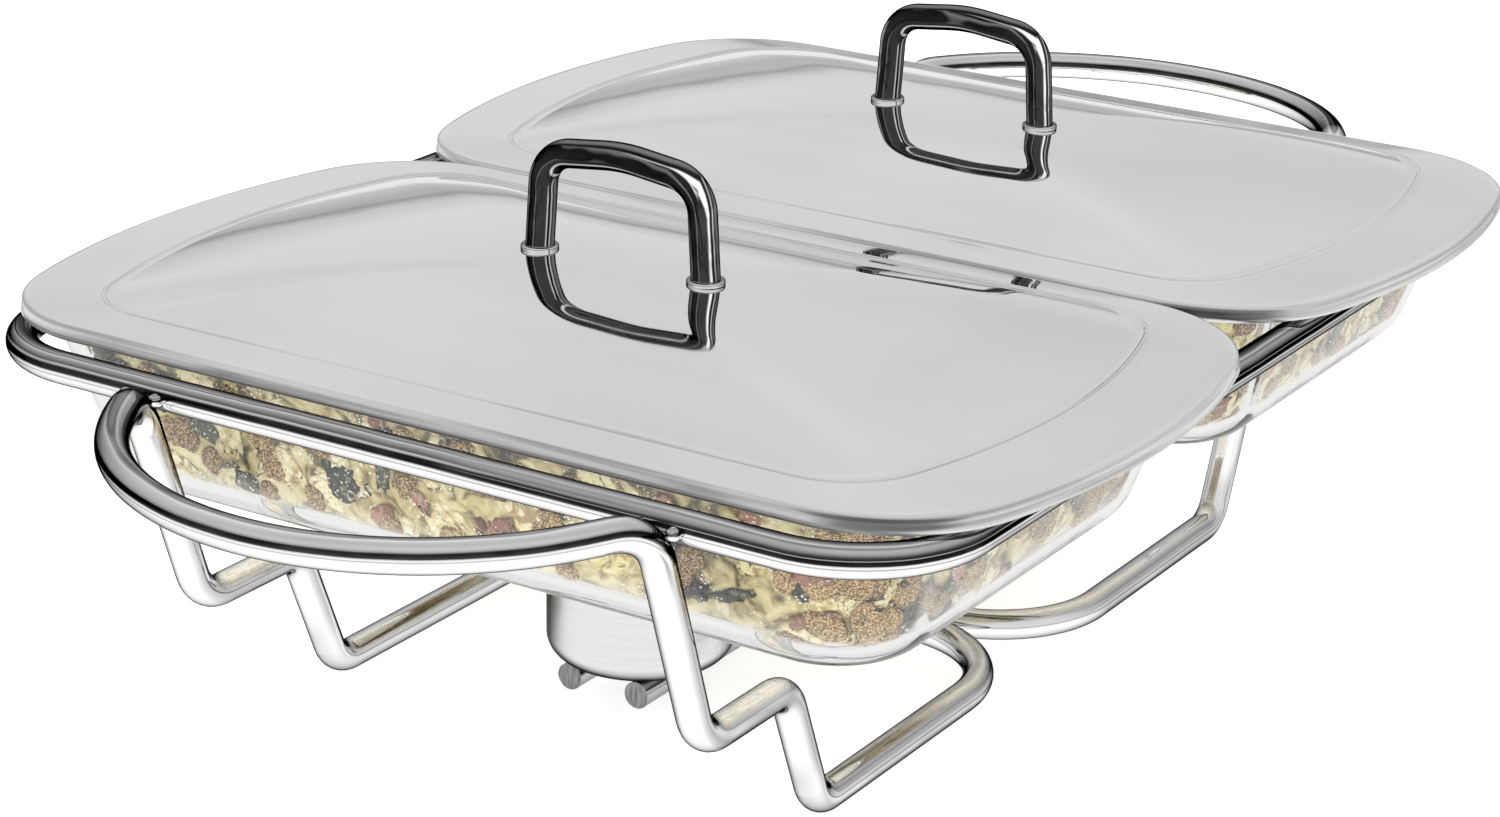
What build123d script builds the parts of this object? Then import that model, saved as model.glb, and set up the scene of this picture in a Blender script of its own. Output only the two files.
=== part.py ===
"""Twin-dish buffet warmer: a bent-rod rack that carries two glass dishes with steel lids over two tealights.

Millimetres. +Z is up and Z = 0 is the table. The origin is the middle of the rack's footprint. X runs along
the long side of each dish. Y runs from the front dish (negative) to the rear dish (positive).
"""

from build123d import *
import math
import os

# Rack rods
ROD_RADIUS = 4.0
RAIL_RADIUS = 3.5
LEG_X = 71.5                 # half the distance between the two legs of one loop
FOOT_HEIGHT = ROD_RADIUS     # height of a rod's centre line when it lies on the table
LEDGE_HEIGHT = 39.0          # the step half way down each leg
LEDGE_OUTER_Y = 157.6
LEDGE_INNER_Y = 121.8
FOOT_Y = 107.2
CROSSBAR_Y = 4.1             # the two crossbars lie side by side at the middle
LEG_TOP_Y = 177.8            # the bend from leg to handle, just above the weld to the top ring
LEG_TOP_HEIGHT = 97.3
LEG_TOP_BEND_RADIUS = 13.0
LEDGE_BEND_RADIUS = 11.0
FOOT_BEND_RADIUS = 9.0
BASE_CORNER_RADIUS = 32.0

# Carrying handles, which are the outer ends of the two loops
HANDLE_REACH = 50.4          # from the leg's top bend out to the middle of the handle
HANDLE_DIP = 1.3             # the handle falls this much over that reach
HANDLE_ARC_START = 28.0      # degrees from the X axis where the round part of the handle begins

# Top ring
RING_HALF_X = 129.5
RING_HALF_Y = 171.0
RING_CORNER_RADIUS = 30.0
RING_HEIGHT = 96.0
RING_TOP = RING_HEIGHT + ROD_RADIUS

# Burner rails and cups
RAIL_X = 10.0
RAIL_HALF_LENGTH = 91.0
RAIL_HEIGHT = 9.4            # the rails are let into the crossbars that they are welded to
BURNER_Y = 74.0
CUP_BASE = RAIL_HEIGHT + RAIL_RADIUS
CUP_RADIUS = 23.8
CUP_HEIGHT = 24.0
CUP_WALL = 1.0
CUP_CORNER_RADIUS = 6.0
CUP_BEAD_RADIUS = 0.9

# Tealight
TEALIGHT_RADIUS = 19.0
TEALIGHT_HEIGHT = 16.0
TEALIGHT_WALL = 0.4
TEALIGHT_CORNER_RADIUS = 1.5
WAX_HEIGHT = 12.5
WICK_RADIUS = 1.0
WICK_HEIGHT = 17.5
SUSTAINER_RADIUS = 8.0
SUSTAINER_THICKNESS = 0.4
SUSTAINER_NECK_RADIUS = 2.0
SUSTAINER_NECK_HEIGHT = 3.5

# Glass dishes
DISH_Y = 83.6                # from the middle of the rack to the middle of a dish
DISH_BASE = 57.6
DISH_BASE_HALF_X = 110.5
DISH_BASE_HALF_Y = 67.0
DISH_TOP_HALF_X = 123.5
DISH_TOP_HALF_Y = 79.5
DISH_CORNER_RADIUS = 23.0
DISH_WALL = 4.0
DISH_BOTTOM_FILLET = 10.0
DISH_INNER_FILLET = 7.0
RIM_THICKNESS = 4.0
RIM_PROUD = 1.2              # the rim bead stands this far out from the wall
TAB_HALF_WIDTH = 50.0        # end tabs that rest on the ring
TAB_CORNER_RADIUS = 12.0
RIM_TOP = RING_TOP + RIM_THICKNESS

# Steel lids
LID_HALF_Y = 83.0
LID_HALF_X = 144.5           # at the middle of the bowed ends
LID_END_RADIUS = 208.0       # plan radius of the bowed ends
LID_CORNER_RADIUS = 38.0
LID_SHEET = 0.8
LID_SKIRT_DROP = 3.3         # the skirt hangs this far below the dish's rim
LID_EDGE_ROLL = 1.4
LID_BRIM_WIDTH = 13.3        # along the straight sides
LID_BRIM_END_EXTRA = 8.8     # the brim is this much wider at the bowed ends
LID_BRIM_RISE = 0.4
LID_DOME_CORNER_RADIUS = 22.0
LID_DOME_RISE = 12.4
LID_DOME_POWER = 2.5         # 2 is an even curve, and more is flatter in the middle and steeper at the edge
LID_FLAT_SHARE = 0.3         # share of the dome, at its middle, that is flat under the handle
LID_DOME_SHARES = (1.0, 0.92, 0.82, 0.68, 0.5, LID_FLAT_SHARE)   # sections of the dome, as shares of its plan
LID_EDGE_CHAMFER = LID_EDGE_ROLL / 3
LID_CLEARANCE = 2.2          # between the dish's end tab and the lid's skirt

# Lid handles and their fastenings
KNOB_ROD_RADIUS = 3.6
KNOB_HALF_X = 24.0
KNOB_TOP_HALF_X = 22.4
KNOB_SHOULDER_HEIGHT = 23.2
KNOB_CROWN_HEIGHT = 25.9
KNOB_BEND_RADIUS = 9.0
KNOB_FOOT_TRIM = 1.0         # the leaning legs are swept this much too long, then cut off level
COLLAR_RADIUS = 4.7
COLLAR_HEIGHT = 1.1
SCREW_RADIUS = 2.0
SCREW_DEPTH = 7.0
SCREW_HEAD_RADIUS = 3.8
SCREW_HEAD_HEIGHT = 2.4
SCREW_SLOT_WIDTH = 1.0
SCREW_SLOT_DEPTH = 1.1
HOLE_CLEARANCE = 0.2
WASHER_RADIUS = 4.6
WASHER_THICKNESS = 0.8

SIDES = {"front": -1, "rear": 1}


# ---- Rods -------------------------------------------------------------------------------------------------

def rod(path, radius):
    """A round rod along a path."""
    start = Plane(origin=path @ 0, z_dir=path % 0)
    return sweep(start * Circle(radius), path=path)


def top_ring_path():
    with BuildSketch(Plane.XY.offset(RING_HEIGHT)) as outline:
        RectangleRounded(2 * RING_HALF_X, 2 * RING_HALF_Y, RING_CORNER_RADIUS)
    return outline.sketch.face().outer_wire()


def handle_arc_geometry():
    """Radius of the round part of the handle, and its centre's distance out from the leg's top bend."""
    angle = math.radians(HANDLE_ARC_START)
    # The tangent at the arc's start has to meet the leg's top bend at LEG_X.
    radius = (LEG_X - HANDLE_REACH * math.tan(angle)) / (1 / math.cos(angle) - math.tan(angle))
    return radius, HANDLE_REACH - radius


def on_handle(across, out):
    """A point of the front handle's tilted plane. Across is X, and out is measured from the leg's bend."""
    share = out / math.hypot(HANDLE_REACH, HANDLE_DIP)
    return Vector(across, -(LEG_TOP_Y + share * HANDLE_REACH), LEG_TOP_HEIGHT - share * HANDLE_DIP)


def front_loop_path():
    """Closed centre line: handle, leg, ledge, foot and half the crossbar, then its mirror image in X."""
    radius, centre_out = handle_arc_geometry()

    def arc_point(degrees):
        angle = math.radians(degrees)
        return on_handle(radius * math.cos(angle), centre_out + radius * math.sin(angle))

    middle_of_arc = (HANDLE_ARC_START + 90) / 2
    arc = ThreePointArc(arc_point(90), arc_point(middle_of_arc), arc_point(HANDLE_ARC_START))
    bend_radii = (
        LEG_TOP_BEND_RADIUS, LEDGE_BEND_RADIUS, FOOT_BEND_RADIUS, FOOT_BEND_RADIUS, BASE_CORNER_RADIUS
    )
    bends = FilletPolyline(
        arc_point(HANDLE_ARC_START),
        (LEG_X, -LEG_TOP_Y, LEG_TOP_HEIGHT),
        (LEG_X, -LEDGE_OUTER_Y, LEDGE_HEIGHT),
        (LEG_X, -LEDGE_INNER_Y, LEDGE_HEIGHT),
        (LEG_X, -FOOT_Y, FOOT_HEIGHT),
        (LEG_X, -CROSSBAR_Y, FOOT_HEIGHT),
        (0, -CROSSBAR_Y, FOOT_HEIGHT),
        radius=bend_radii,
    )
    half = arc.edges() + bends.edges()
    other_half = [edge.mirror(Plane.YZ) for edge in half]
    return Wire(half + other_half)


def burner_rail(side):
    start = (side * RAIL_X, -RAIL_HALF_LENGTH, RAIL_HEIGHT)
    return Solid.make_cylinder(RAIL_RADIUS, 2 * RAIL_HALF_LENGTH, Plane(origin=start, z_dir=(0, 1, 0)))


# ---- Burners ----------------------------------------------------------------------------------------------

def open_cup(radius, height, wall, corner_radius):
    """A round cup with its base on Z = 0 and a rounded bottom edge."""
    outer = Cylinder(radius, height, align=(Align.CENTER, Align.CENTER, Align.MIN))
    outer = fillet(outer.edges().sort_by(Axis.Z)[0], corner_radius)
    inner = Cylinder(radius - wall, height, align=(Align.CENTER, Align.CENTER, Align.MIN))
    inner = fillet(inner.edges().sort_by(Axis.Z)[0], corner_radius - wall)
    return outer - Pos(0, 0, wall) * inner


def burner_cup():
    cup = open_cup(CUP_RADIUS, CUP_HEIGHT, CUP_WALL, CUP_CORNER_RADIUS)
    bead = Pos(0, 0, CUP_HEIGHT - CUP_BEAD_RADIUS) * Torus(CUP_RADIUS - CUP_BEAD_RADIUS / 2, CUP_BEAD_RADIUS)
    return cup + bead


def tealight_shell():
    return open_cup(TEALIGHT_RADIUS, TEALIGHT_HEIGHT, TEALIGHT_WALL, TEALIGHT_CORNER_RADIUS)


def wick_sustainer():
    """The tin foot that holds the wick upright, drilled through for it."""
    bottom = (Align.CENTER, Align.CENTER, Align.MIN)
    plate = Cylinder(SUSTAINER_RADIUS, SUSTAINER_THICKNESS, align=bottom)
    neck = Cylinder(SUSTAINER_NECK_RADIUS, SUSTAINER_NECK_HEIGHT, align=bottom)
    bore = Cylinder(WICK_RADIUS, SUSTAINER_NECK_HEIGHT, align=bottom)
    return Pos(0, 0, TEALIGHT_WALL) * (plate + neck - Pos(0, 0, SUSTAINER_THICKNESS) * bore)


def wick():
    height = WICK_HEIGHT - TEALIGHT_WALL - SUSTAINER_THICKNESS
    shape = Cylinder(WICK_RADIUS, height, align=(Align.CENTER, Align.CENTER, Align.MIN))
    return Pos(0, 0, TEALIGHT_WALL + SUSTAINER_THICKNESS) * shape


def wax():
    """The wax fills the tealight's shell around the wick and its foot."""
    bottom = (Align.CENTER, Align.CENTER, Align.MIN)
    block = Cylinder(TEALIGHT_RADIUS - TEALIGHT_WALL, WAX_HEIGHT, align=bottom)
    block = fillet(block.edges().sort_by(Axis.Z)[0], TEALIGHT_CORNER_RADIUS - TEALIGHT_WALL)
    return Pos(0, 0, TEALIGHT_WALL) * block - wick_sustainer() - wick()


# ---- Glass dishes -----------------------------------------------------------------------------------------

def dish_section(height, inset):
    """The dish's outline at a height, moved inwards by inset. Its walls flare evenly from base to rim."""
    share = (height - DISH_BASE) / (RIM_TOP - DISH_BASE)
    half_x = DISH_BASE_HALF_X + share * (DISH_TOP_HALF_X - DISH_BASE_HALF_X) - inset
    half_y = DISH_BASE_HALF_Y + share * (DISH_TOP_HALF_Y - DISH_BASE_HALF_Y) - inset
    return Pos(0, 0, height) * RectangleRounded(2 * half_x, 2 * half_y, DISH_CORNER_RADIUS - inset)


def dish_block(low, inset, bottom_fillet):
    """A solid block with the dish's flare, from a height up to the rim."""
    block = loft([dish_section(low, inset), dish_section(RIM_TOP, inset)], ruled=True)
    return fillet(block.faces().sort_by(Axis.Z)[0].edges(), bottom_fillet)


def dish_rim():
    """The rim bead and the two bowed end tabs, as one flat band that lies on the ring."""
    band = RectangleRounded(
        2 * (DISH_TOP_HALF_X + RIM_PROUD), 2 * (DISH_TOP_HALF_Y + RIM_PROUD), DISH_CORNER_RADIUS + RIM_PROUD
    )
    under_lid = lid_outline(LID_CLEARANCE + LID_SHEET, LID_CORNER_RADIUS)
    tabs = under_lid & Rectangle(3 * LID_HALF_X, 2 * TAB_HALF_WIDTH)
    tabs = fillet(tabs.vertices(), TAB_CORNER_RADIUS)
    return Pos(0, 0, RING_TOP) * extrude(band + tabs, RIM_THICKNESS)


def glass_dish():
    outer = dish_block(DISH_BASE, 0, DISH_BOTTOM_FILLET) + dish_rim()
    return outer - dish_block(DISH_BASE + DISH_WALL, DISH_WALL, DISH_INNER_FILLET)


# ---- Lids -------------------------------------------------------------------------------------------------

def lid_outline(inset, corner_radius, end_extra=0.0):
    """The lid's plan, with straight sides and bowed ends, moved inwards by inset, and further at the ends."""
    half_y = LID_HALF_Y - inset
    end_x = LID_HALF_X - inset - end_extra
    end_radius = LID_END_RADIUS - inset - end_extra
    corner_x = LID_HALF_X - LID_END_RADIUS + math.sqrt(end_radius ** 2 - half_y ** 2)
    outline = Wire([
        Edge.make_line((-corner_x, -half_y), (corner_x, -half_y)),
        Edge.make_three_point_arc((corner_x, -half_y), (end_x, 0), (corner_x, half_y)),
        Edge.make_line((corner_x, half_y), (-corner_x, half_y)),
        Edge.make_three_point_arc((-corner_x, half_y), (-end_x, 0), (-corner_x, -half_y)),
    ])
    return fillet(Sketch(Face(outline).wrapped).vertices(), corner_radius)


def dome_height(share):
    """Height of the lid's upper surface at a share of the way from the dome's middle to its edge."""
    return RIM_TOP + LID_SHEET + LID_BRIM_RISE + LID_DOME_RISE * (1 - share ** LID_DOME_POWER)


def lid_block(sheet):
    """A solid with the lid's upper surface, or with its lower one when sheet is the metal's thickness."""
    edge_height = RIM_TOP + LID_SHEET
    profile = [
        (sheet, LID_CORNER_RADIUS - sheet, RIM_TOP - LID_SKIRT_DROP),
        (sheet, LID_CORNER_RADIUS - sheet, edge_height - LID_EDGE_ROLL),
        (LID_EDGE_CHAMFER + sheet, LID_CORNER_RADIUS - sheet, edge_height - LID_EDGE_CHAMFER - sheet),
        (LID_EDGE_ROLL + sheet, LID_CORNER_RADIUS - LID_EDGE_ROLL, edge_height - sheet),
    ]
    sections = [Pos(0, 0, height) * lid_outline(inset, corner) for inset, corner, height in profile]
    dome = lid_outline(LID_EDGE_ROLL + LID_BRIM_WIDTH, LID_DOME_CORNER_RADIUS, LID_BRIM_END_EXTRA)
    for share in LID_DOME_SHARES:
        sections.append(Pos(0, 0, dome_height(share) - sheet) * scale(dome, by=(share, share, 1)))
    return loft(sections, ruled=True)


def lid_flat_height():
    """Height of the flat middle of the lid, where the handle's collars stand."""
    return dome_height(LID_FLAT_SHARE)


def at_knob_feet(shape):
    """Copies of a shape at both feet of the lid's handle, as one group."""
    return Compound(children=[Pos(side * KNOB_HALF_X, 0, 0) * shape for side in (-1, 1)])


def upright_cylinder(radius, low, high):
    return Pos(0, 0, low) * Cylinder(radius, high - low, align=(Align.CENTER, Align.CENTER, Align.MIN))


def lid_shell():
    flat = lid_flat_height()
    shell = lid_block(0) - lid_block(LID_SHEET)
    for side in (-1, 1):
        hole = upright_cylinder(SCREW_RADIUS + HOLE_CLEARANCE, flat - 2 * LID_SHEET, flat + LID_SHEET)
        shell = shell - Pos(side * KNOB_HALF_X, 0, 0) * hole
    return shell


def handle_collar():
    base = lid_flat_height()
    ring = upright_cylinder(COLLAR_RADIUS, base, base + COLLAR_HEIGHT)
    ring = fillet(ring.edges().sort_by(Axis.Z)[-1], COLLAR_HEIGHT / 2)
    return ring - upright_cylinder(SCREW_RADIUS + HOLE_CLEARANCE, base, base + COLLAR_HEIGHT)


def lid_handle():
    """An upright loop of rod with leaning legs and a crowned bar, tapped at both feet."""
    base = lid_flat_height() + COLLAR_HEIGHT
    low = base - KNOB_FOOT_TRIM
    shoulder = base + KNOB_SHOULDER_HEIGHT
    crown = base + KNOB_CROWN_HEIGHT
    legs_and_bar = FilletPolyline(
        (-KNOB_HALF_X, 0, low),
        (-KNOB_TOP_HALF_X, 0, shoulder),
        (0, 0, crown),
        (KNOB_TOP_HALF_X, 0, shoulder),
        (KNOB_HALF_X, 0, low),
        radius=(KNOB_BEND_RADIUS, 2 * KNOB_TOP_HALF_X, KNOB_BEND_RADIUS),
    )
    loop = rod(Wire(legs_and_bar.edges()), KNOB_ROD_RADIUS)
    below = (Align.CENTER, Align.CENTER, Align.MAX)
    loop = loop - Pos(0, 0, base) * Box(4 * KNOB_HALF_X, 4 * KNOB_ROD_RADIUS, 4 * KNOB_FOOT_TRIM, align=below)
    for side in (-1, 1):
        hole = upright_cylinder(SCREW_RADIUS, base - KNOB_FOOT_TRIM, base + SCREW_DEPTH)
        loop = loop - Pos(side * KNOB_HALF_X, 0, 0) * hole
    return loop


def handle_screw():
    """A slotted pan-head screw that comes up from under the lid."""
    seat = lid_flat_height() - LID_SHEET - WASHER_THICKNESS
    head = upright_cylinder(SCREW_HEAD_RADIUS, seat - SCREW_HEAD_HEIGHT, seat)
    head = fillet(head.edges().sort_by(Axis.Z)[0], SCREW_HEAD_HEIGHT / 2)
    slot = Box(2 * SCREW_HEAD_RADIUS, SCREW_SLOT_WIDTH, 2 * SCREW_SLOT_DEPTH)
    slot = Pos(0, 0, seat - SCREW_HEAD_HEIGHT) * slot
    shank_top = lid_flat_height() + COLLAR_HEIGHT + SCREW_DEPTH - LID_SHEET
    return head - slot + upright_cylinder(SCREW_RADIUS, seat, shank_top)


def screw_washer():
    top = lid_flat_height() - LID_SHEET
    low = top - WASHER_THICKNESS
    hole = upright_cylinder(SCREW_RADIUS + HOLE_CLEARANCE, low, top)
    return upright_cylinder(WASHER_RADIUS, low, top) - hole


# ---- Assembly ---------------------------------------------------------------------------------------------

def rack_parts():
    ring = rod(top_ring_path(), ROD_RADIUS)
    loop = rod(front_loop_path(), ROD_RADIUS)
    front_loop = loop - ring
    rear_loop = front_loop.mirror(Plane.XZ)
    rails = {side: burner_rail(side) - front_loop - rear_loop for side in (-1, 1)}
    return {
        "top_ring": ring,
        "front_handle_leg_loop": front_loop,
        "rear_handle_leg_loop": rear_loop,
        "left_burner_rail": rails[-1],
        "right_burner_rail": rails[1],
    }


def burner_parts(name, side):
    cup_place = Pos(0, side * BURNER_Y, CUP_BASE)
    tealight_place = Pos(0, side * BURNER_Y, CUP_BASE + CUP_WALL)
    return {
        f"{name}_burner_cup": cup_place * burner_cup(),
        f"{name}_tealight_shell": tealight_place * tealight_shell(),
        f"{name}_tealight_wax": tealight_place * wax(),
        f"{name}_tealight_wick": tealight_place * wick(),
        f"{name}_wick_sustainer": tealight_place * wick_sustainer(),
    }


def dish_parts(name, side):
    place = Pos(0, side * DISH_Y, 0)
    return {
        f"{name}_glass_dish": place * glass_dish(),
        f"{name}_lid_shell": place * lid_shell(),
        f"{name}_lid_handle": place * lid_handle(),
        f"{name}_handle_collars": place * at_knob_feet(handle_collar()),
        f"{name}_handle_screws": place * at_knob_feet(handle_screw()),
        f"{name}_screw_washers": place * at_knob_feet(screw_washer()),
    }


def main():
    parts = rack_parts()
    for name, side in SIDES.items():
        parts.update(burner_parts(name, side))
        parts.update(dish_parts(name, side))
    os.makedirs("parts", exist_ok=True)
    for node, shape in parts.items():
        export_step(shape, f"parts/{node}.step")


main()
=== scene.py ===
"""Looks for the twin-dish buffet warmer: polished lids, glass dishes with a baked dish inside, chrome rods.

Metres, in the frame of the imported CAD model. Sizes that end in _MM or stand in a size table are millimetres.
The CAD keeps every rod, cup, screw and tealight. The lids' shells and the glass dishes are rebuilt here as
smooth skins, and the food is built here, pressed against the inside of the glass.
"""

import math
import random

import bmesh
import bpy
from mathutils import Euler, Matrix, Vector, noise


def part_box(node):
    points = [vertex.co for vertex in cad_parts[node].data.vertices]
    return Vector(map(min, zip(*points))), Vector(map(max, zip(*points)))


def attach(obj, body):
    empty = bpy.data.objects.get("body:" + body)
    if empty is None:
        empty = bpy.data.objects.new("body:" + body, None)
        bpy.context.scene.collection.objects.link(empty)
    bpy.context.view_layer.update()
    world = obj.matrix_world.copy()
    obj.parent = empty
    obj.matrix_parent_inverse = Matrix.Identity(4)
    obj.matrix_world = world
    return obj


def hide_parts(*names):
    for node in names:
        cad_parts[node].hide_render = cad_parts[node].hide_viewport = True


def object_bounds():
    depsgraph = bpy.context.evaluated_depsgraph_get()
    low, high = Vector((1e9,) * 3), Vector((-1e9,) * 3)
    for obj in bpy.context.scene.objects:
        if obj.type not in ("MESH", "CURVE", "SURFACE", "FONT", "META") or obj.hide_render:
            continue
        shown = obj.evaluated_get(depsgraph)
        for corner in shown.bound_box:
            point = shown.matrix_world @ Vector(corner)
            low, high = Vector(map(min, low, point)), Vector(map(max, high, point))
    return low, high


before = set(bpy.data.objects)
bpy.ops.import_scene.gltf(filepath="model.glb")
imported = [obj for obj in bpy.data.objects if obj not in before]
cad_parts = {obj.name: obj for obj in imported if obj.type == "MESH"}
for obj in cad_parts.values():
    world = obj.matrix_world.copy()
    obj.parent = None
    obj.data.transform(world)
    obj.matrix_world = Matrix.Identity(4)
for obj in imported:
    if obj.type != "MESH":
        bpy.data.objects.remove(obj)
CAD_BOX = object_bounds()
MM = 0.001
SIDES = ("front", "rear")

# Camera, as an orbit round a point near the middle of the rack
CAMERA_AZIMUTH = 31.973
CAMERA_ELEVATION = 20.137
CAMERA_ROLL = 1.043
CAMERA_DISTANCE = 0.956
CAMERA_TARGET = Vector((-0.0139, -0.0022, 0.053))
CAMERA_LENS = 86.5
CAMERA_SENSOR = 36.0

# Plan of the lids, with straight long sides and bowed ends
LID_END_RADIUS_MM = 208.0
LID_CORNER_MM = 38.0
DOME_CORNER_MM = 22.0

# Section of the lids, from the hem inwards
LID_SHEET_MM = 0.8
EDGE_ROLL_MM = 1.5
BRIM_WIDTH_MM = 10.2         # along the straight sides
BRIM_END_EXTRA_MM = 11.0     # the brim is this much wider at the bowed ends
BRIM_RISE_MM = 0.95
CREASE_MM = 1.5              # the small bead between the brim and the dome
CREASE_RISE_MM = 0.45
DOME_RISE_MM = 11.45
DOME_POWER = 2.4             # 2 is an even curve, and more is flatter in the middle and steeper at the edge
DOME_ROWS = 44

# Section of the glass dishes
DISH_BASE_HALF_MM = (110.5, 67.0)
DISH_TOP_HALF_MM = (123.5, 79.5)
DISH_CORNER_MM = 23.0
DISH_WALL_MM = 4.0
DISH_BOTTOM_FILLET_MM = 10.0
DISH_INNER_FILLET_MM = 7.0
RIM_THICKNESS_MM = 4.0
RIM_PROUD_MM = 1.2
TAB_HALF_WIDTH_MM = 50.0
TAB_BLEND_MM = 12.0
TAB_INSET_MM = 3.0

# Food
FOOD_GAP_MM = 0.35           # air between the food and the glass
FOOD_TOP_MM = 98.0
FOOD_CEILING_MM = 103.2      # no lump reaches the lid
BODY_SHARE = 0.985           # the sauce stands a little behind the lumps that touch the glass

# Weld beads on the rack
WELD_X_MM = 71.5
WELD_SPREAD_MM = 4.3
WELD_OUT_MM = 0.2            # beyond the ring's outer edge
WELD_DOWN_MM = 4.2           # below the ring's top
WELD_HALF_SIZE_MM = (1.9, 2.4, 1.7)

# Light given off by the brightest bands of the plating, in place of the mirror images of lamps
GLINT = 0.16
GLINT_FROM = 0.80            # brightness of a band at which this begins

# How much brighter the studio is on the photo camera's side, which lids seen from behind mirror
NEAR_SIDE_BOOST = 1.3

# Points round a quarter of a plan outline
END_POINTS = 18
CORNER_POINTS = 14
SIDE_POINTS = 30


# ---- Small helpers ----------------------------------------------------------------------------------------

def smooth_step(share):
    share = min(1.0, max(0.0, share))
    return share * share * (3 - 2 * share)


def between(low, high, share):
    return low + (high - low) * share


def box_mm(node):
    low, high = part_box(node)
    return low / MM, high / MM


def full_loop(quarter):
    """A closed outline from the points of its +X +Y quarter, which runs from the X axis to the Y axis."""
    back = quarter[::-1]
    loop = quarter[:-1]
    loop += [(-x, y) for x, y in back[:-1]]
    loop += [(-x, -y) for x, y in quarter[:-1]]
    loop += [(x, -y) for x, y in back[:-1]]
    return loop


def arc_points(centre, radius, start, stop, count):
    """Points on an arc, without the last one."""
    angles = [between(start, stop, i / count) for i in range(count)]
    return [(centre[0] + radius * math.cos(a), centre[1] + radius * math.sin(a)) for a in angles]


def skin(loops):
    """Vertices and quads of a closed surface through loops, with a point closing both ends."""
    count = len(loops[0])
    vertices = [point for loop in loops for point in loop]
    faces = []
    for row in range(len(loops) - 1):
        for i in range(count):
            j = (i + 1) % count
            faces.append((row * count + i, row * count + j, (row + 1) * count + j, (row + 1) * count + i))
    for loop, flip in ((0, True), (len(loops) - 1, False)):
        centre = sum((Vector(p) for p in loops[loop]), Vector()) / count
        vertices.append(tuple(centre))
        for i in range(count):
            a, b = loop * count + i, loop * count + (i + 1) % count
            faces.append((b, a, len(vertices) - 1) if flip else (a, b, len(vertices) - 1))
    return vertices, faces


def add_piece(name, vertices_mm, faces, material, body, replaced=None):
    """A smooth mesh object from millimetre points, riding on a CAD body."""
    mesh = bpy.data.meshes.new(name)
    mesh.from_pydata([Vector(v) * MM for v in vertices_mm], [], faces)
    work = bmesh.new()
    work.from_mesh(mesh)
    bmesh.ops.recalc_face_normals(work, faces=work.faces)
    work.to_mesh(mesh)
    work.free()
    mesh.shade_smooth()
    piece = bpy.data.objects.new(name, mesh)
    bpy.context.scene.collection.objects.link(piece)
    piece.data.materials.append(material)
    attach(piece, body)
    if replaced:
        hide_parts(replaced)
    return piece


# ---- Shader building --------------------------------------------------------------------------------------

class Graph:
    """A node tree built by calls. add() makes a node, applies its settings, and sets or joins its inputs."""

    def __init__(self, tree):
        self.tree = tree
        tree.nodes.clear()

    def add(self, kind, inputs=None, **settings):
        made = self.tree.nodes.new("ShaderNode" + kind)
        for name, value in settings.items():
            setattr(made, name, value)
        for key, value in (inputs or {}).items():
            if isinstance(value, bpy.types.NodeSocket):
                self.tree.links.new(value, made.inputs[key])
            else:
                made.inputs[key].default_value = value
        return made

    def coordinates(self, stretch=(1, 1, 1)):
        place = self.add("TexCoord").outputs["Object"]
        return self.add("Mapping", {"Vector": place, "Scale": stretch}).outputs["Vector"]

    def noise(self, scale, detail=3.0, stretch=(1, 1, 1), distortion=0.0):
        inputs = {
            "Vector": self.coordinates(stretch), "Scale": scale, "Detail": detail, "Distortion": distortion,
        }
        return self.add("TexNoise", inputs).outputs["Fac"]

    def cells(self, scale, feature="F1", randomness=1.0, stretch=(1, 1, 1)):
        inputs = {"Vector": self.coordinates(stretch), "Scale": scale, "Randomness": randomness}
        return self.add("TexVoronoi", inputs, feature=feature).outputs["Distance"]

    def math(self, operation, a, b=0.0):
        return self.add("Math", {0: a, 1: b}, operation=operation).outputs[0]

    def remap(self, value, low, high, new_low=0.0, new_high=1.0):
        inputs = {0: value, 1: low, 2: high, 3: new_low, 4: new_high}
        return self.add("MapRange", inputs, interpolation_type="SMOOTHSTEP").outputs[0]

    def mix(self, share, a, b, blend="MIX"):
        node = self.add("Mix", {0: share, 6: a, 7: b}, data_type="RGBA", blend_type=blend)
        return node.outputs[2]

    def ramp(self, value, stops):
        node = self.add("ValToRGB", {"Fac": value})
        ramp = node.color_ramp
        while len(ramp.elements) < len(stops):
            ramp.elements.new(0.5)
        for element, (place, colour) in zip(ramp.elements, stops):
            element.position = place
            element.color = colour
        return node.outputs["Color"]

    def bump(self, height, distance, strength=1.0, normal=None):
        inputs = {"Height": height, "Distance": distance, "Strength": strength}
        if normal is not None:
            inputs["Normal"] = normal
        return self.add("Bump", inputs).outputs["Normal"]

    def normal(self, space="WORLD"):
        """X, Y and Z of the surface normal, in the world's space or the camera's."""
        normal = self.add("NewGeometry").outputs["Normal"]
        if space == "CAMERA":
            settings = {"vector_type": "NORMAL", "convert_from": "WORLD", "convert_to": "CAMERA"}
            normal = self.add("VectorTransform", {0: normal}, **settings).outputs[0]
        return self.add("SeparateXYZ", {0: normal}).outputs

    def facing(self):
        """1 where the surface faces the camera, 0 at its outline."""
        return self.math("SUBTRACT", 1.0, self.add("LayerWeight", {"Blend": 0.5}).outputs["Facing"])

    def bands(self, value, stops):
        """A grey ramp over -1 to 1: stops are (value, brightness)."""
        share = self.remap_linear(value, -1.0, 1.0)
        return self.ramp(share, [((place + 1) / 2, grey(tone)) for place, tone in stops])

    def remap_linear(self, value, low, high, new_low=0.0, new_high=1.0):
        return self.add("MapRange", {0: value, 1: low, 2: high, 3: new_low, 4: new_high}).outputs[0]

    def height(self):
        """Height above the table of the point being shaded, at rest."""
        return self.add("SeparateXYZ", {0: self.add("TexCoord").outputs["Object"]}).outputs["Z"]

    def output(self, surface):
        self.add("OutputMaterial", {"Surface": surface})


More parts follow.
